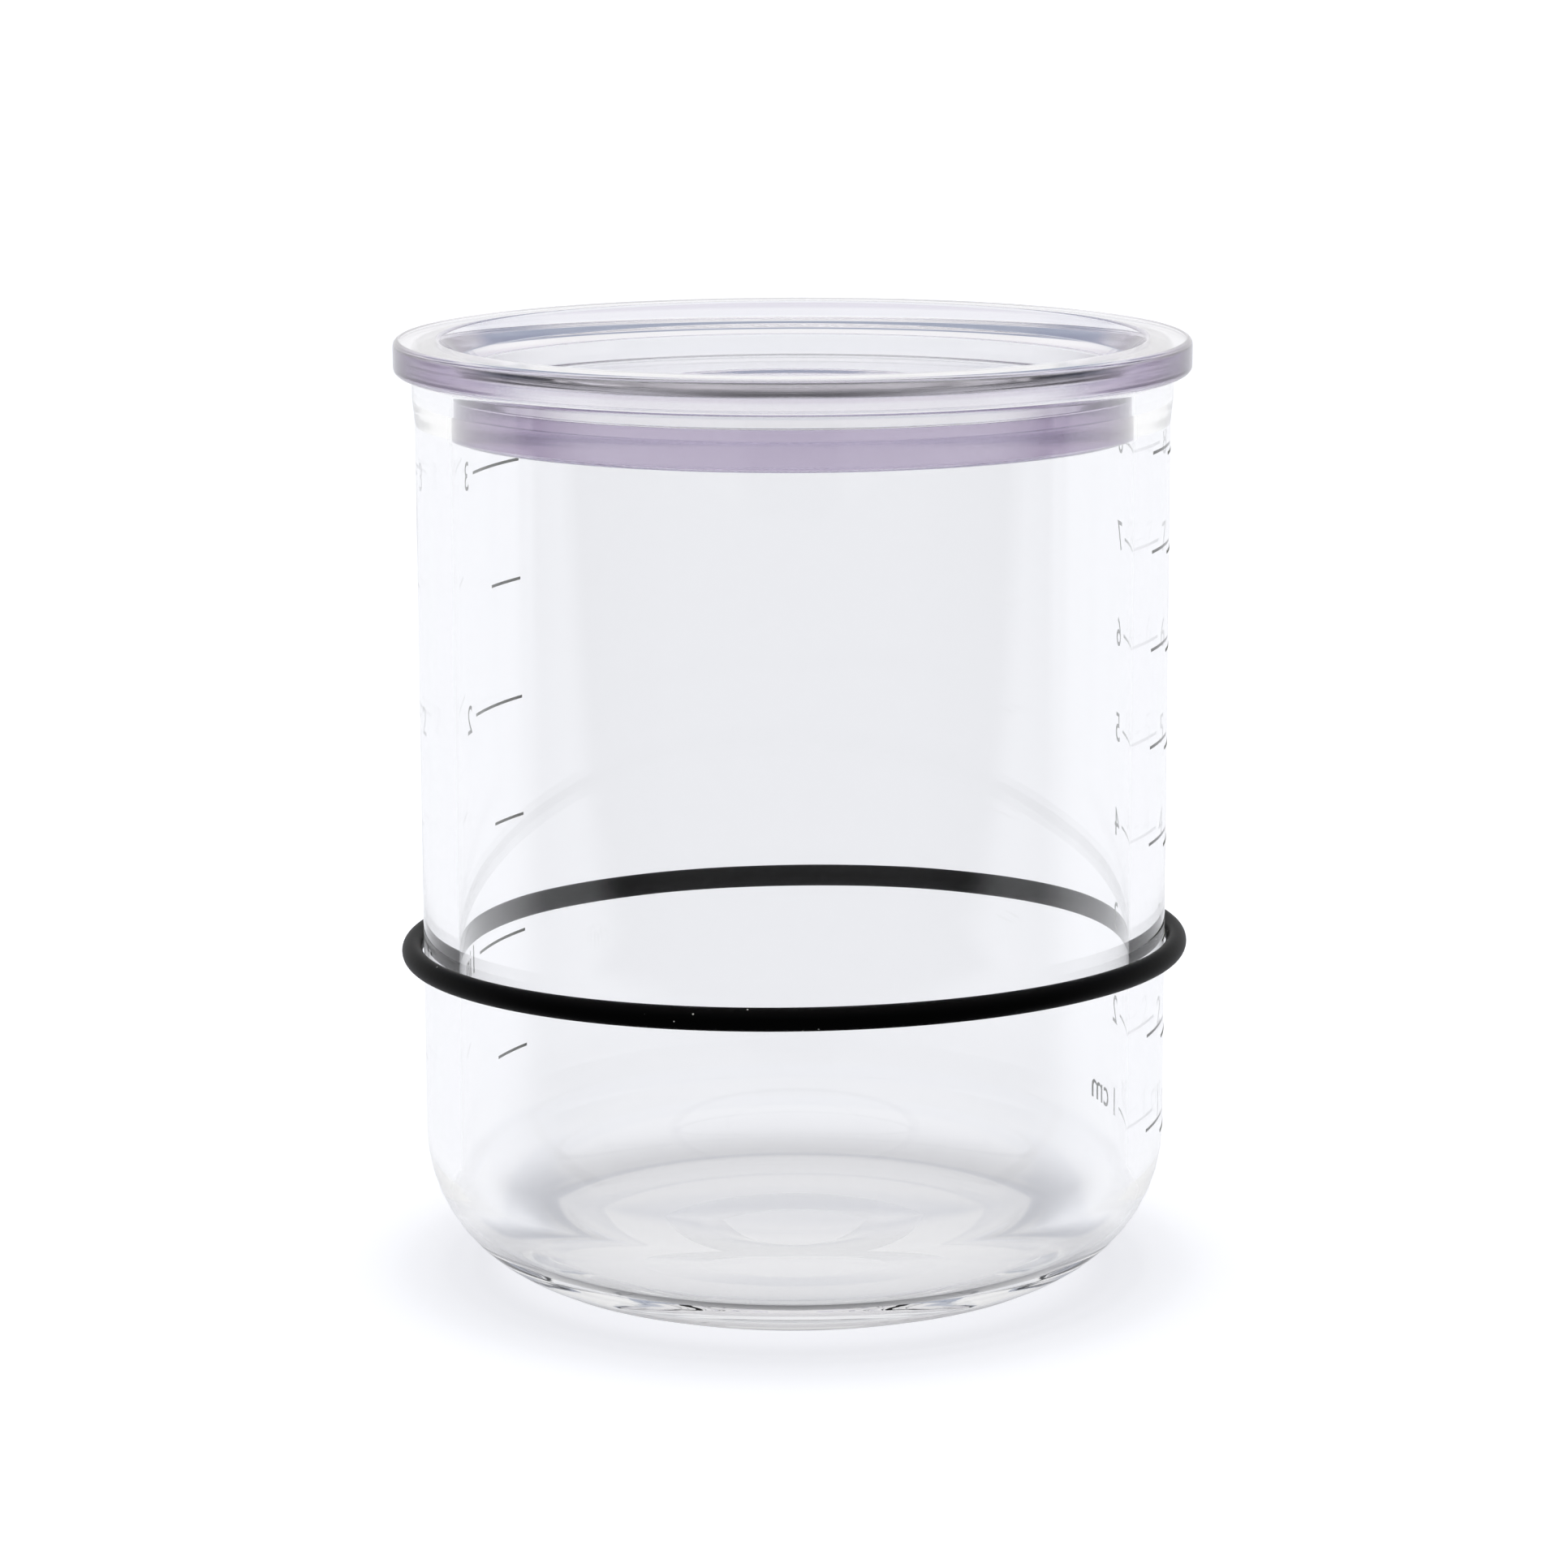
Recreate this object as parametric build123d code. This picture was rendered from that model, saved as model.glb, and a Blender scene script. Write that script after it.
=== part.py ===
"""Sourdough starter jar: a thick glass jar, a clear drop-in lid and a rubber marker band.

Millimetres, +Z up. The origin is the centre of the jar's foot, on the surface that it stands on.
Every piece is turned about the Z axis, and the marker band sits on the wall a little askew.
"""
import os
from math import cos, radians, sin, tan

from build123d import *

# Whole object
LID_DIAMETER = 76.2  # the widest piece of glassware, 3 inches
OVERALL_HEIGHT = 91.44  # foot to lid top, 3.6 inches

# Glass jar
WALL = 3.4
FLOOR_THICKNESS = 3.5
CORNER_RADIUS = 14.2  # outside, where the wall runs into the foot
INNER_CORNER_RADIUS = 7.2
FOOT_LAND = 6.9  # width of the flat ring that the jar stands on
PUNT_DEPTH = 0.4  # shallow hollow inside that ring
PUNT_SLOPE_WIDTH = 0.8
RIM_BEAD_PROUD = 0.25  # thickening that melting the rim round leaves
RIM_BEAD_HEIGHT = 2.4
RIM_BEAD_RUN = 2.4  # height over which the bead blends into the wall
RIM_ROUNDING = 0.6

# Clear lid, resting on the rim
LID_OVERHANG = 1.75  # how far the flange stands out past the rim
FLANGE_THICKNESS = 3.24
FLANGE_LAND = 4.3  # width of the flange's flat top
FLANGE_EDGE = 0.5
PLUG_CLEARANCE = 0.3  # all round, between the lid's plug and the jar's bore
PLUG_DEPTH = 5.7  # from the rim down to the underside of the plug
PLUG_EDGE = 0.5
PLUG_WALL = 1.1  # thickness of the plug's side at the dish's floor
LID_FLOOR_THICKNESS = 3.8
DISH_SLOPE_WIDTH = 1.6  # slope inside the dish's mouth
DISH_SLOPE_DEPTH = 2.14
DISH_COVE = 0.4  # eased corner between the dish's wall and its floor
CENTRE_RECESS_DIAMETER = 34.0
CENTRE_RECESS_DEPTH = 0.5

# Rubber marker band
BAND_SECTION = 2.0  # thickness of the round cord that the band is made of
BAND_CLEARANCE = 0.12  # all round, between the band and the wall
BAND_HEIGHT = 32.3  # middle of the band, above the foot
BAND_TILT_FRONT_UP = 1.7  # degrees that the front stands up
BAND_TILT_RIGHT_UP = 0.65  # degrees that the right side stands up

# Flats that stand for a small round, which keep the solids light
BAND_FLAT_COUNT = 10
INNER_CORNER_FLAT_COUNT = 4
EDGE_FLAT_COUNT = 1

# What follows from these
lid_radius = LID_DIAMETER / 2
rim_radius = lid_radius - LID_OVERHANG
jar_radius = rim_radius - RIM_BEAD_PROUD
bore_radius = jar_radius - WALL
rim_height = OVERALL_HEIGHT - FLANGE_THICKNESS
punt_radius = jar_radius - CORNER_RADIUS - FOOT_LAND
plug_radius = bore_radius - PLUG_CLEARANCE
plug_bottom = rim_height - PLUG_DEPTH
dish_floor = plug_bottom + LID_FLOOR_THICKNESS
dish_mouth_radius = lid_radius - FLANGE_LAND
dish_wall_top = (dish_mouth_radius - DISH_SLOPE_WIDTH, OVERALL_HEIGHT - DISH_SLOPE_DEPTH)
dish_floor_radius = plug_radius - PLUG_WALL
recess_radius = CENTRE_RECESS_DIAMETER / 2
recess_floor = dish_floor - CENTRE_RECESS_DEPTH
band_centre_radius = jar_radius + BAND_CLEARANCE + BAND_SECTION / 2


def eased(before, corner, after, radius, flats):
    """Points of a corner that is rounded to radius with a few straight flats."""
    back = (Vector(before) - Vector(corner)).normalized()
    on = (Vector(after) - Vector(corner)).normalized()
    half_angle = radians(back.get_angle(on) / 2)
    centre = Vector(corner) + (back + on).normalized() * (radius / sin(half_angle))
    start = Vector(corner) + back * (radius / tan(half_angle)) - centre
    end = Vector(corner) + on * (radius / tan(half_angle)) - centre
    turn = start.get_signed_angle(end, Axis.Z.direction)
    return [centre + start.rotate(Axis.Z, turn * step / flats) for step in range(flats + 1)]


def turned(outline, arcs=()):
    """Solid turned about Z.

    The outline's corners are (radius, height), or (radius, height, rounding, flats) where eased.
    Each of the arcs is a corner that gets a true arc, with its radius.
    """
    points = []
    for index, (across, up, *ease) in enumerate(outline):
        if ease:
            before, after = outline[index - 1], outline[(index + 1) % len(outline)]
            points += eased(before[:2], (across, up), after[:2], *ease)
        else:
            points.append(Vector(across, up))
    with BuildSketch() as half_section:
        with BuildLine():
            Polyline(*points, close=True)
        make_face()
        for corner, radius in arcs:
            fillet(half_section.vertices().sort_by_distance(corner)[0], radius)
    return revolve(Plane.XZ * half_section.sketch, Axis.Z)


def glass_jar():
    """Jar with a hollowed foot, a wide round corner, a straight wall and a melted rim."""
    foot_edge = (jar_radius, 0)
    outline = [
        (0, PUNT_DEPTH),
        (punt_radius - PUNT_SLOPE_WIDTH, PUNT_DEPTH),
        (punt_radius, 0),
        foot_edge,
        (jar_radius, rim_height - RIM_BEAD_HEIGHT - RIM_BEAD_RUN),
        (rim_radius, rim_height - RIM_BEAD_HEIGHT),
        (rim_radius, rim_height, RIM_ROUNDING, EDGE_FLAT_COUNT),
        (bore_radius, rim_height, RIM_ROUNDING, EDGE_FLAT_COUNT),
        (bore_radius, FLOOR_THICKNESS, INNER_CORNER_RADIUS, INNER_CORNER_FLAT_COUNT),
        (0, FLOOR_THICKNESS),
    ]
    return turned(outline, arcs=[((*foot_edge, 0), CORNER_RADIUS)])


def lid():
    """Lid with a flange on the rim, a plug inside it and a dished top with a round recess."""
    outline = [
        (0, plug_bottom),
        (plug_radius, plug_bottom, PLUG_EDGE, EDGE_FLAT_COUNT),
        (plug_radius, rim_height),
        (lid_radius, rim_height, FLANGE_EDGE, EDGE_FLAT_COUNT),
        (lid_radius, OVERALL_HEIGHT, FLANGE_EDGE, EDGE_FLAT_COUNT),
        (dish_mouth_radius, OVERALL_HEIGHT),
        dish_wall_top,
        (dish_floor_radius, dish_floor, DISH_COVE, EDGE_FLAT_COUNT),
        (recess_radius, dish_floor),
        (recess_radius, recess_floor),
        (0, recess_floor),
    ]
    return turned(outline)


def marker_band():
    """Rubber ring on the jar's wall, where it was last pushed, a little askew."""
    step = radians(360 / BAND_FLAT_COUNT)
    reach = BAND_SECTION / 2
    section = [(band_centre_radius + reach * cos(step * side), reach * sin(step * side))
               for side in range(BAND_FLAT_COUNT)]
    askew = Rotation(-BAND_TILT_FRONT_UP, -BAND_TILT_RIGHT_UP, 0)
    return Pos(0, 0, BAND_HEIGHT) * askew * turned(section)


os.makedirs("parts", exist_ok=True)
for make in (glass_jar, lid, marker_band):
    export_step(make(), f"parts/{make.__name__}.step")
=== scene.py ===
"""Looks of a sourdough starter jar: thick clear glass, a violet-tinted lid and a rubber marker band.

Every piece is turned about the jar's upright axis, so each starts as a short outline of corners that
bmesh rounds and spins. Lengths are metres, written in millimetres through mm(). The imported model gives
the overall sizes, and the settings below hold what it doesn't.
"""

import math

import bmesh
import bpy
from mathutils import Matrix, Vector


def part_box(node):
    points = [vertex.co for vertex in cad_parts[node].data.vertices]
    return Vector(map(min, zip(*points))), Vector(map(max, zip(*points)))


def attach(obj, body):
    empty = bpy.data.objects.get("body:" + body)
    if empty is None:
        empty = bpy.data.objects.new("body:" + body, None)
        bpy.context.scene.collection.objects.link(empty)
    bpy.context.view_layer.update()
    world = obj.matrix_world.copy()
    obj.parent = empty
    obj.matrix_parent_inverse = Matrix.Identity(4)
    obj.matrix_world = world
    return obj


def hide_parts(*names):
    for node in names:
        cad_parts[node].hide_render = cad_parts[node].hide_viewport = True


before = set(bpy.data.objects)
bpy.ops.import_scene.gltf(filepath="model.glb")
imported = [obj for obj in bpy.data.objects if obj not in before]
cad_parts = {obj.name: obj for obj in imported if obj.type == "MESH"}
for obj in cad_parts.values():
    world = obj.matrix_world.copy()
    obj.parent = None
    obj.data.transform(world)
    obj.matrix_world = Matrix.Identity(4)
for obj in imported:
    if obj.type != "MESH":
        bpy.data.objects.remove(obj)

bl_info = {
    "name": "Sourdough starter jar",
    "version": (1, 0, 0),
    "blender": (4, 5, 0),
    "location": "View3D > Sidebar > Starter jar",
    "description": "Builds a glass starter jar with its lid, marker band, printed scales and studio",
    "category": "Object",
}

WHITE = (1, 1, 1, 1)


def mm(length):
    """Millimetres as metres."""
    return length * 0.001


def linear(hex_colour):
    """An sRGB hex colour as linear red, green and blue."""
    shares = [int(hex_colour[place:place + 2], 16) / 255 for place in (1, 3, 5)]
    return [s / 12.92 if s <= 0.04045 else ((s + 0.055) / 1.055) ** 2.4 for s in shares]


def rgba(colour):
    """Linear red, green and blue with full alpha, as a colour socket takes them."""
    return (*colour, 1.0)


jar_low, jar_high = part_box("glass_jar")
lid_low, lid_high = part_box("lid")
band_low, band_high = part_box("marker_band")


class JarSettings(bpy.types.PropertyGroup):
    """Sizes of the glass jar."""

    rim_radius: bpy.props.FloatProperty(
        name="Rim radius", description="Outside radius of the melted rim",
        default=jar_high.x, unit="LENGTH")
    height: bpy.props.FloatProperty(
        name="Height", description="Foot to rim", default=jar_high.z, unit="LENGTH")
    wall: bpy.props.FloatProperty(
        name="Wall", description="Thickness of the straight wall", default=mm(3.4), unit="LENGTH")
    floor: bpy.props.FloatProperty(
        name="Floor", description="Thickness of the glass under the starter",
        default=mm(3.5), unit="LENGTH")
    corner: bpy.props.FloatProperty(
        name="Outer corner", description="Radius outside, where the wall runs into the foot",
        default=mm(14.2), unit="LENGTH")
    inner_corner: bpy.props.FloatProperty(
        name="Inner corner", description="Radius inside, where the wall runs into the floor",
        default=mm(7.2), unit="LENGTH")
    foot_land: bpy.props.FloatProperty(
        name="Foot land", description="Width of the ring that the jar stands on",
        default=mm(6.9), unit="LENGTH")
    punt_depth: bpy.props.FloatProperty(
        name="Punt depth", description="Depth of the hollow inside that ring",
        default=mm(0.15), unit="LENGTH")
    punt_slope: bpy.props.FloatProperty(
        name="Punt slope", description="Width of the slope round the hollow",
        default=mm(6.0), unit="LENGTH")
    bead_proud: bpy.props.FloatProperty(
        name="Bead", description="How far the melted rim stands out past the wall",
        default=mm(0.25), unit="LENGTH")
    bead_height: bpy.props.FloatProperty(
        name="Bead height", description="Height of the melted rim", default=mm(2.4), unit="LENGTH")
    bead_run: bpy.props.FloatProperty(
        name="Bead run", description="Height over which the bead blends into the wall",
        default=mm(2.4), unit="LENGTH")
    rim_rounding: bpy.props.FloatProperty(
        name="Rim rounding", description="Radius of the melted rim's edges",
        default=mm(0.6), unit="LENGTH")


class LidSettings(bpy.types.PropertyGroup):
    """Sizes of the lid."""

    seat_gap: bpy.props.FloatProperty(
        name="Seat gap", description="Film of air between the flange and the rim",
        default=mm(0.02), unit="LENGTH")
    flange_land: bpy.props.FloatProperty(
        name="Flange land", description="Width of the flange's flat top",
        default=mm(4.3), unit="LENGTH")
    slope_width: bpy.props.FloatProperty(
        name="Slope width", description="Width of the slope inside the dish's mouth",
        default=mm(1.6), unit="LENGTH")
    slope_depth: bpy.props.FloatProperty(
        name="Slope depth", description="Depth of that slope", default=mm(2.14), unit="LENGTH")
    slope_foot: bpy.props.FloatProperty(
        name="Slope foot", description="Radius between that slope and the dish's wall",
        default=mm(0.533), unit="LENGTH")
    flange_edge: bpy.props.FloatProperty(
        name="Flange edge", description="Radius of the flange's outer edges",
        default=mm(0.6), unit="LENGTH")
    plug_root: bpy.props.FloatProperty(
        name="Plug root", description="Radius between the plug and the flange's underside",
        default=mm(0.2), unit="LENGTH")
    plug_clearance: bpy.props.FloatProperty(
        name="Plug clearance", description="Gap between the plug and the jar's bore",
        default=mm(0.3), unit="LENGTH")
    plug_edge: bpy.props.FloatProperty(
        name="Plug edge", description="Radius of the plug's lower edge",
        default=mm(0.7), unit="LENGTH")
    plug_wall: bpy.props.FloatProperty(
        name="Plug wall", description="Thickness of the plug's side at the dish's floor",
        default=mm(1.1), unit="LENGTH")
    floor: bpy.props.FloatProperty(
        name="Floor", description="Thickness of the lid's floor", default=mm(3.8), unit="LENGTH")
    dish_cove: bpy.props.FloatProperty(
        name="Dish cove", description="Radius between the dish's wall and its floor",
        default=mm(0.4), unit="LENGTH")
    recess_radius: bpy.props.FloatProperty(
        name="Recess radius", description="Radius of the shallow recess in the middle",
        default=mm(17.0), unit="LENGTH")
    recess_depth: bpy.props.FloatProperty(
        name="Recess depth", description="Depth of that recess", default=mm(0.5), unit="LENGTH")


class BandSettings(bpy.types.PropertyGroup):
    """Place and section of the marker band."""

    section: bpy.props.FloatProperty(
        name="Section", description="Thickness of the cord", default=mm(2.0), unit="LENGTH")
    tall: bpy.props.FloatProperty(
        name="Tall", description="Height of the cord, a little more than its thickness",
        default=mm(2.2), unit="LENGTH")
    clearance: bpy.props.FloatProperty(
        name="Clearance", description="Gap between the band and the wall",
        default=mm(0.12), unit="LENGTH")
    front_up: bpy.props.FloatProperty(
        name="Front up", description="How far the front of the band stands up",
        default=math.radians(1.7), subtype="ANGLE")
    right_up: bpy.props.FloatProperty(
        name="Right up", description="How far the right side of the band stands up",
        default=math.radians(0.65), subtype="ANGLE")


class ScaleSettings(bpy.types.PropertyGroup):
    """Sizes and places of the two printed height scales."""

    true_share: bpy.props.FloatProperty(
        name="Share of true length", description="Printed spacing as a share of a true ruler's",
        default=0.945)
    zero: bpy.props.FloatProperty(
        name="Zero", description="Height of the scales' zero above the foot",
        default=mm(5.3), unit="LENGTH")
    line: bpy.props.FloatProperty(
        name="Line", description="Width of the printed lines", default=mm(0.3), unit="LENGTH")
    digit: bpy.props.FloatProperty(
        name="Digit height", description="Height of the figures", default=mm(2.8), unit="LENGTH")
    digit_stretch: bpy.props.FloatProperty(
        name="Digit stretch", description="How much wider than the font's own the figures are",
        default=1.25)
    ink: bpy.props.FloatProperty(
        name="Ink", description="How far the fired ink stands on and in the glass",
        default=mm(0.02), unit="LENGTH")
    inches: bpy.props.IntProperty(
        name="Inches", description="Whole inches on the scale", default=3)
    centimetres: bpy.props.IntProperty(
        name="Centimetres", description="Whole centimetres on the scale", default=8)
    inch_start: bpy.props.FloatProperty(
        name="Inch marks from", description="Azimuth where the inch marks start",
        default=math.radians(-123.5), subtype="ANGLE")
    inch_end: bpy.props.FloatProperty(
        name="Inch marks to", description="Azimuth where the marks of whole inches end",
        default=math.radians(-103.6), subtype="ANGLE")
    half_inch_end: bpy.props.FloatProperty(
        name="Half inch marks to", description="Azimuth where the marks of half inches end",
        default=math.radians(-112.8), subtype="ANGLE")
    inch_figures: bpy.props.FloatProperty(
        name="Inch figures", description="Azimuth where the inch figures start",
        default=math.radians(-101.0), subtype="ANGLE")
    centimetre_start: bpy.props.FloatProperty(
        name="Centimetre marks from", description="Azimuth where the centimetre marks start",
        default=math.radians(79.0), subtype="ANGLE")
    centimetre_end: bpy.props.FloatProperty(
        name="Centimetre marks to", description="Azimuth where the centimetre marks end",
        default=math.radians(93.5), subtype="ANGLE")
    centimetre_figures: bpy.props.FloatProperty(
        name="Centimetre figures", description="Azimuth where the centimetre figures start",
        default=math.radians(96.0), subtype="ANGLE")


class ColourSettings(bpy.types.PropertyGroup):
    """Colours of the materials."""

    rubber: bpy.props.FloatVectorProperty(
        name="Rubber", description="Colour of the marker band",
        default=linear("#060606"), subtype="COLOR", min=0, max=1)
    ink: bpy.props.FloatVectorProperty(
        name="Ink", description="Colour of the printed scales",
        default=linear("#7F8274"), subtype="COLOR", min=0, max=1)
    dust: bpy.props.FloatVectorProperty(
        name="Dust", description="Colour of the specks of dust and flour on the rubber",
        default=linear("#D8D8D2"), subtype="COLOR", min=0, max=1)
    tint: bpy.props.FloatVectorProperty(
        name="Tint", description="Light that the lid's plastic lets through",
        default=linear("#C8BAD8"), subtype="COLOR", min=0, max=1)
    # Painted shade: the violet that light takes on over a long path through the dye, painted onto the
    # plastic's upright faces where the eye looks along them
    painted_edge_tint: bpy.props.FloatVectorProperty(
        name="Edge tint", description="Tint of the plastic's upright faces, seen along them",
        default=linear("#BCADC5"), subtype="COLOR", min=0, max=1)
    # Painted shade too: the upright faces of the flange's upper part show a share of that violet at any
    # view angle
    painted_upper_tint: bpy.props.FloatProperty(
        name="Upper tint", description="Share of the edge tint that the flange's upper part shows",
        default=0.45)
    painted_upper_depth: bpy.props.FloatProperty(
        name="Upper depth", description="From the lid's top to where that part ends",
        default=mm(2.3), unit="LENGTH")
    painted_upper_fade: bpy.props.FloatProperty(
        name="Upper fade", description="How softly it ends", default=mm(0.4), unit="LENGTH")
    tint_density: bpy.props.FloatProperty(
        name="Tint density", description="Strength of that tint, for each metre of plastic",
        default=20.0)
    floor: bpy.props.FloatVectorProperty(
        name="Studio floor", description="Colour of the floor that the jar stands on",
        default=linear("#E9EAEE"), subtype="COLOR", min=0, max=1)


class StageSettings(bpy.types.PropertyGroup):
    """The camera and the lamps."""

    distance: bpy.props.FloatProperty(
        name="Distance", description="Camera in front of the jar's axis",
        default=mm(469.4), unit="LENGTH")
    eye_height: bpy.props.FloatProperty(
        name="Eye height", description="Camera above the surface",
        default=mm(140.0), unit="LENGTH")
    pitch: bpy.props.FloatProperty(
        name="Pitch", description="How far the camera looks down",
        default=0.194, subtype="ANGLE")
    aside: bpy.props.FloatProperty(
        name="Aside", description="How far the camera turns to the left of the axis",
        default=0.002, subtype="ANGLE")
    roll: bpy.props.FloatProperty(
        name="Roll", description="How far the camera leans", default=-0.003, subtype="ANGLE")
    lens: bpy.props.FloatProperty(
        name="Lens", description="Focal length for a 36 mm sensor", default=113.04)
    table: bpy.props.FloatProperty(
        name="Table", description="Half the table's width", default=8.0, unit="LENGTH")
    table_front: bpy.props.FloatProperty(
        name="Table front", description="From the jar's axis to the table's front edge",
        default=mm(590), unit="LENGTH")
    backdrop_light: bpy.props.FloatProperty(
        name="Backdrop", description="Light of the backdrop and the tent's sides", default=1.0)
    panel_light: bpy.props.FloatProperty(
        name="Panels", description="Light of the panels beside the camera", default=0.2)
    gap: bpy.props.FloatProperty(
        name="Gap", description="From straight ahead to the panels",
        default=math.radians(12), subtype="ANGLE")
    gap_fade: bpy.props.FloatProperty(
        name="Gap fade", description="How softly the panels begin",
        default=math.radians(6), subtype="ANGLE")
    panel_end: bpy.props.FloatProperty(
        name="Panel end", description="From straight ahead to where the panels fade",
        default=math.radians(80), subtype="ANGLE")
    backdrop_start: bpy.props.FloatProperty(
        name="Backdrop start", description="From straight ahead to where the backdrop is white",
        default=math.radians(110), subtype="ANGLE")
    backdrop_top: bpy.props.FloatProperty(
        name="Backdrop top", description="Elevation where the backdrop ends, as the sine of the angle",
        default=0.32)
    backdrop_fade: bpy.props.FloatProperty(
        name="Backdrop fade", description="How softly it ends", default=0.12)
    gap_light: bpy.props.FloatProperty(
        name="Gap light", description="Light that comes between those panels", default=0.0)
    upper_colour: bpy.props.FloatVectorProperty(
        name="Upper tent", description="Colour of the tent above the backdrop",
        default=linear("#A2AABC"), subtype="COLOR", min=0, max=1)
    roof_edge: bpy.props.FloatProperty(
        name="Roof edge", description="Elevation where the roof begins, as the sine of the angle",
        default=0.60)
    roof_fade: bpy.props.FloatProperty(
        name="Roof fade", description="How softly it begins", default=0.08)
    roof_light: bpy.props.FloatProperty(
        name="Roof lamp", description="Light of the lamp in the tent's roof", default=0.95)
    sun: bpy.props.FloatProperty(
        name="Roof lamp power", description="Light that falls straight down", default=2.4)
    sun_angle: bpy.props.FloatProperty(
        name="Roof lamp size", description="How wide the lamp looks from below",
        default=math.radians(30), subtype="ANGLE")
    fill: bpy.props.FloatProperty(
        name="Tent fill power", description="Light that comes from all over the tent", default=0.55)
    fill_angle: bpy.props.FloatProperty(
        name="Tent fill size", description="How wide the tent looks from inside",
        default=math.radians(160), subtype="ANGLE")
    floor_glow: bpy.props.FloatProperty(
        name="Floor glow", description="Light that the floor adds, so that it is white", default=0.38)
    glow_colour: bpy.props.FloatVectorProperty(
        name="Glow colour", description="Colour of that light",
        default=linear("#FAFBFF"), subtype="COLOR", min=0, max=1)
    # Painted reflection: no card lies on the floor; its front half is drawn this much darker only where
    # glass mirrors it
    mirrored_front_light: bpy.props.FloatProperty(
        name="Card", description="Share of its light that this card keeps of the floor's",
        default=0.1)
    mirrored_front_edge: bpy.props.FloatProperty(
        name="Card edge", description="From the jar's axis to the card that glass mirrors",
        default=0.0, unit="LENGTH")
    mirrored_front_fade: bpy.props.FloatProperty(
        name="Card fade", description="How softly the card's edge shows", default=mm(40), unit="LENGTH")
    glow_through: bpy.props.FloatProperty(
        name="Glow through glass", description="Share of the floor's glow that glass shows",
        default=0.5)
    floor_drop: bpy.props.FloatProperty(
        name="Floor drop", description="From the jar's foot down to the floor",
        default=mm(0.02), unit="LENGTH")
    nearest: bpy.props.FloatProperty(
        name="Nearest", description="Nearest thing that the camera shows",
        default=mm(10), unit="LENGTH")


class StarterJarSettings(bpy.types.PropertyGroup):
    """All settings of the starter jar."""

    jar: bpy.props.PointerProperty(type=JarSettings, name="Jar", description="Glass jar")
    lid: bpy.props.PointerProperty(type=LidSettings, name="Lid", description="Lid")
    band: bpy.props.PointerProperty(type=BandSettings, name="Band", description="Marker band")
    scale: bpy.props.PointerProperty(type=ScaleSettings, name="Scales", description="Printed scales")
    colours: bpy.props.PointerProperty(type=ColourSettings, name="Colours", description="Colours")
    stage: bpy.props.PointerProperty(type=StageSettings, name="Stage", description="Camera and lamps")


TURN_STEPS = 360  # facets round a turned piece
ARC_STEP = math.radians(7.5)  # turn of a rounded corner that one facet takes
CORD_SIDES = 32  # facets round the band's cord
LINE_STEPS = 24  # facets along a printed line
FIGURE_CURVE_STEPS = 6  # points on each bend of a figure's outline
FIGURE_SLICES = 8  # cuts across a figure for each digit height, so that it bends round the wall
WELD = mm(0.0005)  # vertices nearer than this are one
FLAT_PULL = 50  # how strongly large faces keep the shading flat
INCH = mm(25.4)
CENTIMETRE = mm(10)

FLOAT_A, FLOAT_B = 2, 3  # sockets of a Mix node that mixes numbers
COLOUR_A, COLOUR_B, COLOUR_OUT = 6, 7, 2  # sockets of a Mix node that mixes colours
NO_MIRROR_YET = 0.5  # a ray whose glossy depth is below this has met no mirror
LEVEL_LINES = (0.04, 0.04, 1.0)  # stretches a noise to level lines

SHINE_FACE_ON = 0.95  # share of a lamp's light that a clear surface lets through face on
SHINE_GRAZING = 0.5  # and where the light only grazes it
GRAZING_STEEPNESS = 5.0  # how late the one turns into the other

BOUNCES = 24
TRANSPARENT_BOUNCES = 16


def turned(name, corners):
    """An object turned about the Z axis from outline corners (radius, height, rounding)."""
    shape = bmesh.new()
    points = [shape.verts.new((radius, 0, height)) for radius, height, rounding in corners]
    shape.faces.new(points)
    for place, (radius, height, rounding) in enumerate(corners):
        if rounding:
            here = Vector((radius, height))
            before = Vector(corners[place - 1][:2]) - here
            after = Vector(corners[(place + 1) % len(corners)][:2]) - here
            inside = before.angle(after)
            bmesh.ops.bevel(
                shape, geom=[points[place]], offset=rounding / math.tan(inside / 2),
                offset_type="OFFSET", segments=max(2, round((math.pi - inside) / ARC_STEP)),
                profile=0.5, affect="VERTICES", material=-1)
    bmesh.ops.delete(shape, geom=list(shape.faces), context="FACES_ONLY")
    on_axis = [edge for edge in shape.edges if all(abs(v.co.x) < WELD for v in edge.verts)]
    bmesh.ops.delete(shape, geom=on_axis, context="EDGES")
    spin_whole(shape)
    return smooth_object(name, shape)


def spin_whole(shape):
    """Spins every edge of the outline once round the Z axis and closes the skin."""
    bmesh.ops.spin(
        shape, geom=list(shape.verts) + list(shape.edges), cent=(0, 0, 0), axis=(0, 0, 1),
        dvec=(0, 0, 0), angle=math.tau, steps=TURN_STEPS, use_merge=True, use_duplicate=False)
    bmesh.ops.remove_doubles(shape, verts=list(shape.verts), dist=WELD)
    bmesh.ops.recalc_face_normals(shape, faces=list(shape.faces))


def smooth_object(name, shape):
    """The bmesh as a smooth-shaded object, with the normals of its large faces kept flat."""
    for face in shape.faces:
        face.smooth = True
    mesh = bpy.data.meshes.new(name)
    shape.to_mesh(mesh)
    shape.free()
    piece = bpy.data.objects.new(name, mesh)
    bpy.context.scene.collection.objects.link(piece)
    weighted = piece.modifiers.new("Flat faces stay flat", "WEIGHTED_NORMAL")
    weighted.mode = "FACE_AREA"
    weighted.weight = FLAT_PULL
    weighted.keep_sharp = True
    return piece


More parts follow.
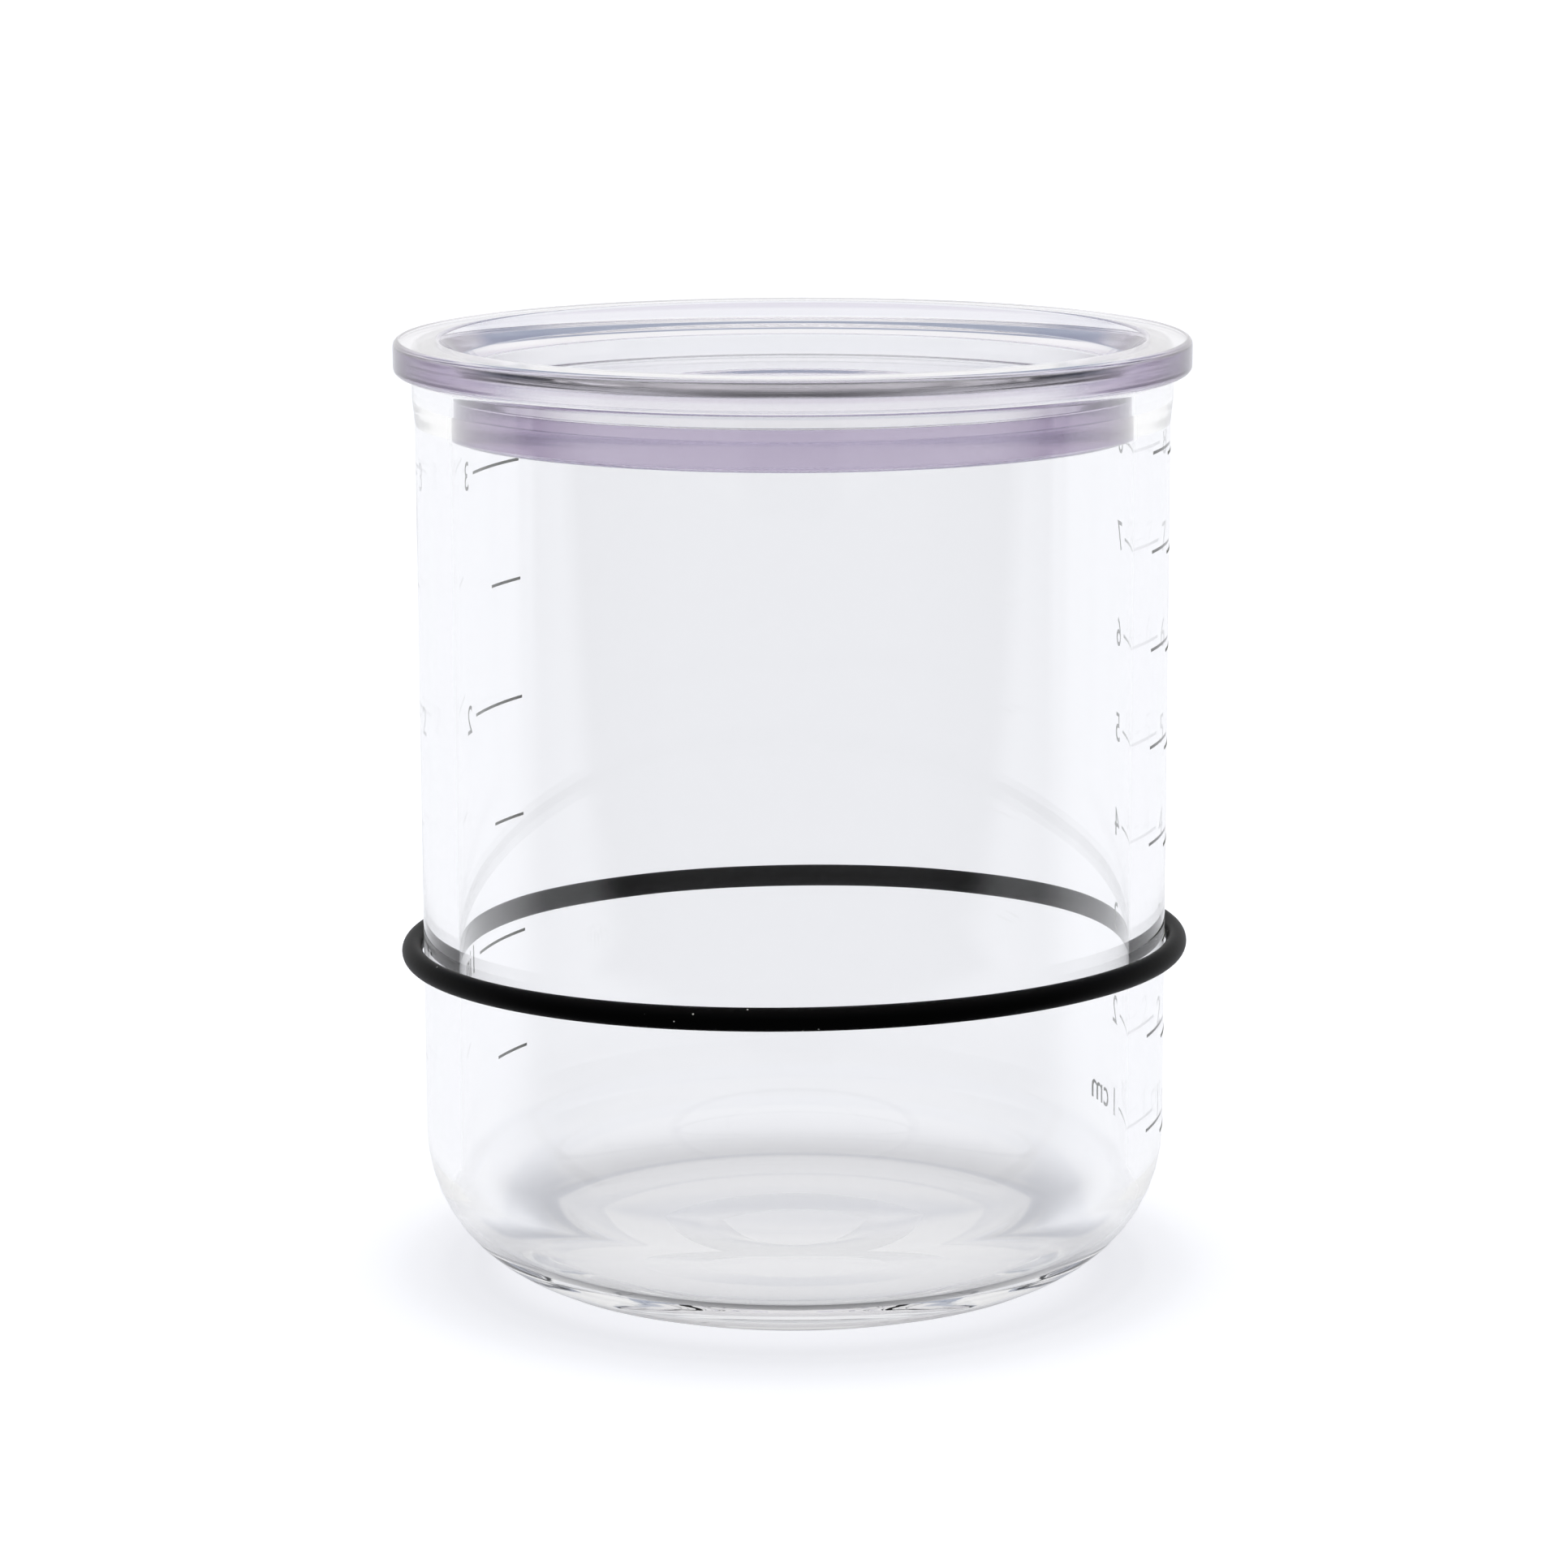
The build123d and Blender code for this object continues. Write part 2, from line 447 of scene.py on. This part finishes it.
def add(tree, kind, settings=None, sockets=None):
    """Adds a node with its settings. A socket is given a value, or the output that feeds it."""
    node = tree.nodes.new(kind)
    for name, value in (settings or {}).items():
        setattr(node, name, value)
    for name, value in (sockets or {}).items():
        if isinstance(value, bpy.types.NodeSocket):
            tree.links.new(value, node.inputs[name])
        else:
            node.inputs[name].default_value = value
    return node


def new_material(name):
    """An empty material and its node tree."""
    material = bpy.data.materials.new(name)
    material.use_nodes = True
    material.node_tree.nodes.clear()
    return material, material.node_tree


def finish_material(tree, surface, volume=None):
    """Joins the surface, and a volume if there is one, to the output."""
    output = add(tree, "ShaderNodeOutputMaterial", sockets={"Surface": surface})
    if volume is not None:
        tree.links.new(volume, output.inputs["Volume"])


def lets_light_through(tree, surface):
    """The surface, made so that lamps shine straight through it with what it doesn't mirror: nearly all
    of their light face on, and less at a grazing angle. This gives the pale shadow of clear things."""
    path = add(tree, "ShaderNodeLightPath")
    weight = add(tree, "ShaderNodeLayerWeight", sockets={"Blend": 0.5})
    grazing = add(tree, "ShaderNodeMath", {"operation": "POWER"}, {
        0: weight.outputs["Facing"], 1: GRAZING_STEEPNESS})
    share = add(tree, "ShaderNodeMapRange", sockets={
        "Value": grazing.outputs[0], "To Min": SHINE_FACE_ON, "To Max": SHINE_GRAZING})
    clear = add(tree, "ShaderNodeBsdfTransparent", sockets={"Color": share.outputs[0]})
    return add(tree, "ShaderNodeMixShader", sockets={
        0: path.outputs["Is Shadow Ray"], 1: surface, 2: clear.outputs[0]}).outputs[0]


def blown_borosilicate_glass():
    """Borosilicate glass, blown into a mould and fire polished: clear, with a slow ripple in its skin
    that bends what is seen through it a little."""
    material, tree = new_material("blown_borosilicate_glass")
    place = add(tree, "ShaderNodeTexCoord")
    ripple = add(tree, "ShaderNodeTexNoise", sockets={
        "Vector": place.outputs["Object"], "Scale": 1 / mm(18), "Detail": 1.0, "Roughness": 0.4})
    skin = add(tree, "ShaderNodeBump", sockets={
        "Strength": 0.5, "Distance": mm(0.05), "Height": ripple.outputs["Fac"]})
    glass = add(tree, "ShaderNodeBsdfPrincipled", sockets={
        "Base Color": WHITE, "Roughness": 0.0, "IOR": 1.473, "Transmission Weight": 1.0,
        "Specular IOR Level": 0.25, "Normal": skin.outputs["Normal"]})
    finish_material(tree, lets_light_through(tree, glass.outputs[0]))
    return material


def tinted_clear_plastic(colours):
    """Clear plastic with a trace of violet dye, injection moulded, pale where it is thin, with the faint
    turning lines of its mould on its skin. Its upright faces carry painted shade: violet where the eye
    looks along them and on the flange's upper part, standing in for light that travels far through the
    dye."""
    material, tree = new_material("tinted_clear_plastic")
    place = add(tree, "ShaderNodeTexCoord")
    flat = add(tree, "ShaderNodeVectorMath", {"operation": "MULTIPLY"}, {
        0: place.outputs["Object"], 1: LEVEL_LINES})
    # A turned mould leaves lines about 0.1 mm apart, and they are drawn coarser here, so that they show
    lines = add(tree, "ShaderNodeTexNoise", sockets={
        "Vector": flat.outputs[0], "Scale": 1 / mm(1.2), "Detail": 2.0, "Roughness": 0.5})
    skin = add(tree, "ShaderNodeBump", sockets={
        "Strength": 0.5, "Distance": mm(0.02), "Height": lines.outputs["Fac"]})
    # Painted shade: upright faces turn violet where the eye looks along them and near the flange's top,
    # standing in for light that travels far through the dye
    facing = add(tree, "ShaderNodeSeparateXYZ", sockets={0: place.outputs["Normal"]})
    up = add(tree, "ShaderNodeMath", {"operation": "ABSOLUTE"}, {0: facing.outputs["Z"]})
    upright = add(tree, "ShaderNodeMapRange", sockets={
        "Value": up.outputs[0], "From Min": 0.3, "From Max": 0.1})
    weight = add(tree, "ShaderNodeLayerWeight", sockets={"Blend": 0.5})
    along = add(tree, "ShaderNodeMapRange", {"interpolation_type": "SMOOTHSTEP"}, {
        "Value": weight.outputs["Facing"], "From Min": 0.15, "From Max": 0.42})
    height = add(tree, "ShaderNodeSeparateXYZ", sockets={0: place.outputs["Object"]})
    painted_upper_start = lid_high.z - colours.painted_upper_depth
    upper = add(tree, "ShaderNodeMapRange", {"interpolation_type": "SMOOTHSTEP"}, {
        "Value": height.outputs["Z"], "From Min": painted_upper_start,
        "From Max": painted_upper_start + colours.painted_upper_fade, "To Max": colours.painted_upper_tint})
    strong = add(tree, "ShaderNodeMath", {"operation": "MAXIMUM"}, {
        0: along.outputs[0], 1: upper.outputs[0]})
    edge = add(tree, "ShaderNodeMath", {"operation": "MULTIPLY"}, {
        0: upright.outputs[0], 1: strong.outputs[0]})
    colour = add(tree, "ShaderNodeMix", {"data_type": "RGBA"}, {
        "Factor": edge.outputs[0], COLOUR_A: WHITE, COLOUR_B: rgba(colours.painted_edge_tint)})
    rough = add(tree, "ShaderNodeMath", {"operation": "MULTIPLY"}, {0: upright.outputs[0], 1: 0.12})
    plastic = add(tree, "ShaderNodeBsdfPrincipled", sockets={
        "Base Color": colour.outputs[COLOUR_OUT], "Roughness": rough.outputs[0], "IOR": 1.53,
        "Transmission Weight": 1.0, "Specular IOR Level": 0.3, "Normal": skin.outputs["Normal"]})
    dye = add(tree, "ShaderNodeVolumeAbsorption", sockets={
        "Color": rgba(colours.tint), "Density": colours.tint_density})
    surface = lets_light_through(tree, plastic.outputs[0])
    finish_material(tree, surface, dye.outputs[0])
    return material


def moulded_silicone_rubber(colours):
    """Silicone rubber, press moulded: deep black with a soft satin shine and a few specks of dust."""
    material, tree = new_material("moulded_silicone_rubber")
    place = add(tree, "ShaderNodeTexCoord")
    # The real grain is finer than 0.1 mm, and is drawn coarser here, so that it shows
    grain = add(tree, "ShaderNodeTexNoise", sockets={
        "Vector": place.outputs["Object"], "Scale": 1 / mm(0.6), "Detail": 3.0})
    skin = add(tree, "ShaderNodeBump", sockets={
        "Strength": 0.15, "Distance": mm(0.05), "Height": grain.outputs["Fac"]})
    # Specks about 0.2 mm across, at most one in every 1.6 mm
    specks = add(tree, "ShaderNodeTexVoronoi", sockets={
        "Vector": place.outputs["Object"], "Scale": 1 / mm(1.6)})
    dusty = add(tree, "ShaderNodeMapRange", sockets={
        "Value": specks.outputs["Distance"], "From Min": 0.065, "From Max": 0.045})
    patches = add(tree, "ShaderNodeTexNoise", sockets={
        "Vector": place.outputs["Object"], "Scale": 1 / mm(9)})
    where = add(tree, "ShaderNodeMapRange", sockets={
        "Value": patches.outputs["Fac"], "From Min": 0.5, "From Max": 0.62})
    speck = add(tree, "ShaderNodeMath", {"operation": "MULTIPLY"}, {
        0: dusty.outputs[0], 1: where.outputs[0]})
    colour = add(tree, "ShaderNodeMix", {"data_type": "RGBA"}, {
        "Factor": speck.outputs[0], COLOUR_A: rgba(colours.rubber), COLOUR_B: rgba(colours.dust)})
    rubber = add(tree, "ShaderNodeBsdfPrincipled", sockets={
        "Base Color": colour.outputs[COLOUR_OUT], "Roughness": 0.4, "IOR": 1.42,
        "Specular IOR Level": 0.03, "Normal": skin.outputs["Normal"]})
    finish_material(tree, rubber.outputs[0])
    return material


def fired_ceramic_ink(colours):
    """Ceramic ink, screen printed and fired into the glass: matt and even, a little grainy."""
    material, tree = new_material("fired_ceramic_ink")
    place = add(tree, "ShaderNodeTexCoord")
    # A screen's threads stand about 0.1 mm apart, and their grain is drawn coarser here to show
    grain = add(tree, "ShaderNodeTexNoise", sockets={
        "Vector": place.outputs["Object"], "Scale": 1 / mm(0.25), "Detail": 2.0})
    shade = add(tree, "ShaderNodeMapRange", sockets={
        "Value": grain.outputs["Fac"], "From Min": 0.3, "From Max": 0.7, "To Min": 0.85, "To Max": 1.15})
    colour = add(tree, "ShaderNodeVectorMath", {"operation": "SCALE"}, {
        0: colours.ink, "Scale": shade.outputs[0]})
    ink = add(tree, "ShaderNodeBsdfPrincipled", sockets={
        "Base Color": colour.outputs[0], "Roughness": 0.6, "IOR": 1.5})
    finish_material(tree, ink.outputs[0])
    return material


class MakeGlassJar(bpy.types.Operator):
    """Makes the thick glass jar"""

    bl_idname = "starter_jar.glass_jar"
    bl_label = "Glass jar"

    def execute(self, context):
        s = context.scene.starter_jar.jar
        wall_radius = s.rim_radius - s.bead_proud
        bore = wall_radius - s.wall
        foot = wall_radius - s.corner - s.foot_land
        piece = turned("jar_glass", [
            (0, s.punt_depth, 0),
            (foot - s.punt_slope, s.punt_depth, s.punt_slope),
            (foot, 0, s.punt_slope / 2),
            (wall_radius, 0, s.corner),
            (wall_radius, s.height - s.bead_height - s.bead_run, s.bead_run),
            (s.rim_radius, s.height - s.bead_height, s.bead_run),
            (s.rim_radius, s.height, s.rim_rounding),
            (bore, s.height, s.rim_rounding),
            (bore, s.floor, s.inner_corner),
            (0, s.floor, 0),
        ])
        piece.data.materials.append(blown_borosilicate_glass())
        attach(piece, "jar")
        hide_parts("glass_jar")
        return {"FINISHED"}


class MakeLid(bpy.types.Operator):
    """Makes the clear lid, with its flange, plug and dish"""

    bl_idname = "starter_jar.lid"
    bl_label = "Lid"

    def execute(self, context):
        settings = context.scene.starter_jar
        s = settings.lid
        jar = settings.jar
        top = lid_high.z
        bottom = lid_low.z
        seat = jar.height + s.seat_gap
        plug = jar.rim_radius - jar.bead_proud - jar.wall - s.plug_clearance
        dish_floor = bottom + s.floor
        mouth = lid_high.x - s.flange_land
        piece = turned("lid_moulding", [
            (0, bottom, 0),
            (plug, bottom, s.plug_edge),
            (plug, seat, s.plug_root),
            (lid_high.x, seat, s.flange_edge),
            (lid_high.x, top, s.flange_edge),
            (mouth, top, s.flange_edge),
            (mouth - s.slope_width, top - s.slope_depth, s.slope_foot),
            (plug - s.plug_wall, dish_floor, s.dish_cove),
            (s.recess_radius + s.recess_depth, dish_floor, s.recess_depth),
            (s.recess_radius, dish_floor - s.recess_depth, s.recess_depth),
            (0, dish_floor - s.recess_depth, 0),
        ])
        piece.data.materials.append(tinted_clear_plastic(settings.colours))
        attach(piece, "lid")
        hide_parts("lid")
        return {"FINISHED"}


class MakeMarkerBand(bpy.types.Operator):
    """Makes the rubber marker band, a little askew on the wall"""

    bl_idname = "starter_jar.marker_band"
    bl_label = "Marker band"

    def execute(self, context):
        settings = context.scene.starter_jar
        s = settings.band
        wall_radius = settings.jar.rim_radius - settings.jar.bead_proud
        centre = wall_radius + s.clearance + s.section / 2
        height = (band_low.z + band_high.z) / 2
        shape = bmesh.new()
        bmesh.ops.create_circle(shape, cap_ends=False, radius=s.section / 2, segments=CORD_SIDES)
        bmesh.ops.scale(shape, verts=list(shape.verts), vec=(1, s.tall / s.section, 1))
        bmesh.ops.transform(
            shape, verts=list(shape.verts),
            matrix=Matrix.Translation((centre, 0, 0)) @ Matrix.Rotation(math.radians(90), 4, "X"))
        spin_whole(shape)
        askew = (Matrix.Translation((0, 0, height)) @ Matrix.Rotation(-s.front_up, 4, "X")
                 @ Matrix.Rotation(-s.right_up, 4, "Y"))
        bmesh.ops.transform(shape, verts=list(shape.verts), matrix=askew)
        piece = smooth_object("rubber_band", shape)
        piece.data.materials.append(moulded_silicone_rubber(settings.colours))
        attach(piece, "band")
        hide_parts("marker_band")
        return {"FINISHED"}


def printed_line(shape, radius, ink, height, line, start, end):
    """Adds one printed line to the shape: a thin strip on the wall from one azimuth to another."""
    corners = [
        shape.verts.new((0, -radius - across * ink, height + up * line / 2))
        for across, up in ((-1, -1), (1, -1), (1, 1), (-1, 1))
    ]
    section = shape.faces.new(corners)
    bmesh.ops.rotate(
        shape, verts=corners, cent=(0, 0, 0), matrix=Matrix.Rotation(start, 3, "Z"))
    bmesh.ops.spin(
        shape, geom=[section, *section.verts, *section.edges], cent=(0, 0, 0), axis=(0, 0, 1),
        dvec=(0, 0, 0), angle=end - start, steps=LINE_STEPS, use_merge=False, use_duplicate=False)
    open_edges = [edge for edge in shape.edges if len(edge.link_faces) == 1]
    bmesh.ops.holes_fill(shape, edges=open_edges, sides=4)


def printed_words(shape, words, radius, ink, height, azimuth, digit, stretch):
    """Adds figures to the shape, wrapped on the wall from this azimuth on, centred at this height."""
    curve = bpy.data.curves.new("words", "FONT")
    curve.body = words
    curve.size = digit
    curve.extrude = ink
    curve.resolution_u = FIGURE_CURVE_STEPS
    writing = bpy.data.objects.new("words", curve)
    mesh = bpy.data.meshes.new_from_object(writing)
    bpy.data.objects.remove(writing)
    letters = bmesh.new()
    letters.from_mesh(mesh)
    bpy.data.meshes.remove(mesh)
    bmesh.ops.remove_doubles(letters, verts=list(letters.verts), dist=WELD)
    tall = max(v.co.y for v in letters.verts)
    bmesh.ops.scale(
        letters, verts=list(letters.verts), vec=(stretch * digit / tall, digit / tall, 1))
    wide = max(v.co.x for v in letters.verts)
    slices = math.ceil(wide / digit * FIGURE_SLICES)
    for place in range(1, slices):
        geometry = list(letters.verts) + list(letters.edges) + list(letters.faces)
        bmesh.ops.bisect_plane(
            letters, geom=geometry, dist=WELD, plane_co=(wide * place / slices, 0, 0),
            plane_no=(1, 0, 0))
    for vertex in letters.verts:
        across, up, out = vertex.co
        angle = azimuth + across / radius
        reach = radius + out
        vertex.co = (reach * math.sin(angle), -reach * math.cos(angle), height + up - digit / 2)
    bmesh.ops.recalc_face_normals(letters, faces=list(letters.faces))
    wrapped = bpy.data.meshes.new("wrapped")
    letters.to_mesh(wrapped)
    letters.free()
    shape.from_mesh(wrapped)
    bpy.data.meshes.remove(wrapped)


class MakeScales(bpy.types.Operator):
    """Makes the inch and centimetre scales, printed on the outside of the glass"""

    bl_idname = "starter_jar.scales"
    bl_label = "Printed scales"

    def execute(self, context):
        settings = context.scene.starter_jar
        s = settings.scale
        radius = settings.jar.rim_radius - settings.jar.bead_proud
        ink = fired_ceramic_ink(settings.colours)
        inches = [(half / 2, half % 2 == 0) for half in range(1, 2 * s.inches + 1)]
        centimetres = [(whole, True) for whole in range(1, s.centimetres + 1)]
        for name, unit, marks, pitch, start, whole_end, half_end, figures in (
                ("inch_scale", "in", inches, INCH,
                 s.inch_start, s.inch_end, s.half_inch_end, s.inch_figures),
                ("centimetre_scale", " cm", centimetres, CENTIMETRE,
                 s.centimetre_start, s.centimetre_end, s.centimetre_end, s.centimetre_figures)):
            shape = bmesh.new()
            for mark, whole in marks:
                height = s.zero + mark * pitch * s.true_share
                end = whole_end if whole else half_end
                printed_line(shape, radius, s.ink, height, s.line, start, end)
                if whole:
                    words = f"{mark:.0f}{unit if mark == 1 else ''}"
                    printed_words(
                        shape, words, radius, s.ink, height, figures, s.digit, s.digit_stretch)
            bmesh.ops.recalc_face_normals(shape, faces=list(shape.faces))
            mesh = bpy.data.meshes.new(name)
            shape.to_mesh(mesh)
            shape.free()
            piece = bpy.data.objects.new(name, mesh)
            context.scene.collection.objects.link(piece)
            piece.data.materials.append(ink)
            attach(piece, "jar")
        return {"FINISHED"}


def studio_floor(colours, stage):
    """White paper floor: it takes the jar's shadow and glows white to the camera, and less so where
    glass shows it. Where glass mirrors its front half, it is drawn dark: a painted reflection, as dark
    as a black card laid there would look."""
    material, tree = new_material("studio_floor")
    path = add(tree, "ShaderNodeLightPath")
    place = add(tree, "ShaderNodeTexCoord")
    parts = add(tree, "ShaderNodeSeparateXYZ", sockets={0: place.outputs["Object"]})
    # Painted reflection: for rays that a mirror sent here, the front half of the floor is dimmed to a
    # share of its light and glow
    front = add(tree, "ShaderNodeMapRange", {"interpolation_type": "SMOOTHSTEP"}, {
        "Value": parts.outputs["Y"], "From Min": -stage.mirrored_front_edge - stage.mirrored_front_fade,
        "From Max": -stage.mirrored_front_edge, "To Min": stage.mirrored_front_light})
    mirrored = add(tree, "ShaderNodeMath", {"operation": "MINIMUM"}, {
        0: path.outputs["Glossy Depth"], 1: 1.0})
    light = add(tree, "ShaderNodeMix", {"data_type": "FLOAT"}, {
        "Factor": mirrored.outputs[0], FLOAT_A: 1.0, FLOAT_B: front.outputs[0]})
    shade = add(tree, "ShaderNodeVectorMath", {"operation": "SCALE"}, {
        0: colours.floor, "Scale": light.outputs[0]})
    through = add(tree, "ShaderNodeMath", {"operation": "MAXIMUM"}, {
        0: path.outputs["Is Glossy Ray"], 1: path.outputs["Is Transmission Ray"]})
    dimmed = add(tree, "ShaderNodeMath", {"operation": "MULTIPLY"}, {
        0: through.outputs[0], 1: stage.glow_through})
    seen = add(tree, "ShaderNodeMath", {"operation": "MAXIMUM"}, {
        0: path.outputs["Is Camera Ray"], 1: dimmed.outputs[0]})
    glowing = add(tree, "ShaderNodeMath", {"operation": "MULTIPLY"}, {
        0: seen.outputs[0], 1: stage.floor_glow})
    fill = add(tree, "ShaderNodeMath", {"operation": "MULTIPLY"}, {
        0: glowing.outputs[0], 1: light.outputs[0]})
    paper = add(tree, "ShaderNodeBsdfDiffuse", sockets={"Color": shade.outputs[0]})
    glow = add(tree, "ShaderNodeEmission", sockets={
        "Color": rgba(stage.glow_colour), "Strength": fill.outputs[0]})
    whole = add(tree, "ShaderNodeAddShader", sockets={0: paper.outputs[0], 1: glow.outputs[0]})
    finish_material(tree, whole.outputs[0])
    return material


def studio_world(stage):
    """A photographer's tent, white behind and round the jar, bluish above and bright at the roof. It is
    dark where glass mirrors the camera's side, with a dim panel on each side of the camera."""
    world = bpy.data.worlds.new("studio_world")
    world.use_nodes = True
    tree = world.node_tree
    tree.nodes.clear()
    path = add(tree, "ShaderNodeLightPath")
    direction = add(tree, "ShaderNodeTexCoord")
    parts = add(tree, "ShaderNodeSeparateXYZ", sockets={0: direction.outputs["Generated"]})
    forward = add(tree, "ShaderNodeMath", {"operation": "MULTIPLY"}, {0: parts.outputs["Y"], 1: -1.0})
    azimuth = add(tree, "ShaderNodeMath", {"operation": "ARCTAN2"}, {
        0: parts.outputs["X"], 1: forward.outputs[0]})
    aside = add(tree, "ShaderNodeMath", {"operation": "ABSOLUTE"}, {0: azimuth.outputs[0]})
    panels = add(tree, "ShaderNodeMapRange", {"interpolation_type": "SMOOTHSTEP"}, {
        "Value": aside.outputs[0], "From Min": stage.gap, "From Max": stage.gap + stage.gap_fade,
        "To Min": stage.gap_light, "To Max": stage.panel_light})
    behind = add(tree, "ShaderNodeMapRange", {"interpolation_type": "SMOOTHSTEP"}, {
        "Value": aside.outputs[0], "From Min": stage.panel_end, "From Max": stage.backdrop_start})
    straight = add(tree, "ShaderNodeMath", {"operation": "LESS_THAN"}, {
        0: path.outputs["Glossy Depth"], 1: NO_MIRROR_YET})
    white = add(tree, "ShaderNodeMath", {"operation": "MAXIMUM"}, {
        0: behind.outputs[0], 1: straight.outputs[0]})
    low = add(tree, "ShaderNodeMix", {"data_type": "FLOAT"}, {
        "Factor": white.outputs[0], FLOAT_A: panels.outputs[0], FLOAT_B: stage.backdrop_light})
    above = add(tree, "ShaderNodeMapRange", {"interpolation_type": "SMOOTHSTEP"}, {
        "Value": parts.outputs["Z"], "From Min": stage.backdrop_top,
        "From Max": stage.backdrop_top + stage.backdrop_fade})
    lit = add(tree, "ShaderNodeMix", {"data_type": "RGBA"}, {
        "Factor": above.outputs[0], COLOUR_A: low.outputs[0], COLOUR_B: rgba(stage.upper_colour)})
    roof = add(tree, "ShaderNodeMapRange", {"interpolation_type": "SMOOTHSTEP"}, {
        "Value": parts.outputs["Z"], "From Min": stage.roof_edge,
        "From Max": stage.roof_edge + stage.roof_fade})
    tent = add(tree, "ShaderNodeMix", {"data_type": "RGBA"}, {
        "Factor": roof.outputs[0], COLOUR_A: lit.outputs[COLOUR_OUT],
        COLOUR_B: rgba([stage.roof_light] * 3)})
    colour = add(tree, "ShaderNodeMix", {"data_type": "RGBA"}, {
        "Factor": path.outputs["Is Camera Ray"], COLOUR_A: tent.outputs[COLOUR_OUT],
        COLOUR_B: WHITE})
    clear = add(tree, "ShaderNodeMath", {"operation": "MAXIMUM"}, {
        0: path.outputs["Is Glossy Ray"], 1: path.outputs["Is Transmission Ray"]})
    seen = add(tree, "ShaderNodeMath", {"operation": "MAXIMUM"}, {
        0: clear.outputs[0], 1: path.outputs["Is Camera Ray"]})
    background = add(tree, "ShaderNodeBackground", sockets={
        "Color": colour.outputs[COLOUR_OUT], "Strength": seen.outputs[0]})
    add(tree, "ShaderNodeOutputWorld", sockets={"Surface": background.outputs[0]})
    return world


class MakeStage(bpy.types.Operator):
    """Makes the floor, the tent of light, the lamps and the camera"""

    bl_idname = "starter_jar.stage"
    bl_label = "Stage"

    def execute(self, context):
        settings = context.scene.starter_jar
        s = settings.stage
        scene = context.scene
        shape = bmesh.new()
        bmesh.ops.create_grid(shape, x_segments=1, y_segments=1, size=s.table)
        bmesh.ops.translate(
            shape, verts=list(shape.verts), vec=(0, s.table - s.table_front, -s.floor_drop))
        mesh = bpy.data.meshes.new("floor")
        shape.to_mesh(mesh)
        shape.free()
        floor = bpy.data.objects.new("floor", mesh)
        scene.collection.objects.link(floor)
        floor.data.materials.append(studio_floor(settings.colours, s))

        scene.world = studio_world(s)
        for name, energy, angle in (("roof_lamp", s.sun, s.sun_angle),
                                    ("tent_fill", s.fill, s.fill_angle)):
            lamp = bpy.data.lights.new(name, "SUN")
            lamp.energy = energy
            lamp.angle = angle
            lamp.cycles.use_multiple_importance_sampling = False
            light = bpy.data.objects.new(name, lamp)
            light.visible_glossy = False
            scene.collection.objects.link(light)

        camera = bpy.data.cameras.new("camera")
        camera.lens = s.lens
        camera.sensor_width = 36.0
        camera.clip_start = s.nearest
        eye = bpy.data.objects.new("camera", camera)
        eye.matrix_world = (
            Matrix.Translation((0, -s.distance, s.eye_height))
            @ Matrix.Rotation(s.aside, 4, "Z")
            @ Matrix.Rotation(math.pi / 2 - s.pitch, 4, "X")
            @ Matrix.Rotation(s.roll, 4, "Z"))
        scene.collection.objects.link(eye)
        scene.camera = eye

        scene.view_settings.view_transform = "Standard"
        scene.cycles.max_bounces = BOUNCES
        scene.cycles.glossy_bounces = BOUNCES
        scene.cycles.transmission_bounces = BOUNCES
        scene.cycles.transparent_max_bounces = TRANSPARENT_BOUNCES
        scene.cycles.caustics_refractive = False
        scene.cycles.caustics_reflective = False
        return {"FINISHED"}


class StarterJarPanel(bpy.types.Panel):
    """Lists what can be made"""

    bl_idname = "VIEW3D_PT_starter_jar"
    bl_label = "Starter jar"
    bl_space_type = "VIEW_3D"
    bl_region_type = "UI"
    bl_category = "Starter jar"

    def draw(self, context):
        for operator in OPERATORS:
            self.layout.operator(operator.bl_idname)


OPERATORS = (MakeGlassJar, MakeLid, MakeMarkerBand, MakeScales, MakeStage)
CLASSES = (JarSettings, LidSettings, BandSettings, ScaleSettings, ColourSettings, StageSettings,
           StarterJarSettings, *OPERATORS, StarterJarPanel)


def register():
    """Adds the classes and the settings to Blender."""
    for kind in CLASSES:
        bpy.utils.register_class(kind)
    bpy.types.Scene.starter_jar = bpy.props.PointerProperty(
        type=StarterJarSettings, name="Starter jar", description="Settings of the starter jar")


def unregister():
    """Takes them out again."""
    del bpy.types.Scene.starter_jar
    for kind in reversed(CLASSES):
        bpy.utils.unregister_class(kind)


def main():
    """Builds every piece and the stage."""
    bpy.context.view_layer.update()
    register()
    bpy.ops.starter_jar.glass_jar()
    bpy.ops.starter_jar.lid()
    bpy.ops.starter_jar.marker_band()
    bpy.ops.starter_jar.scales()
    bpy.ops.starter_jar.stage()


if __name__ == "__main__":
    main()
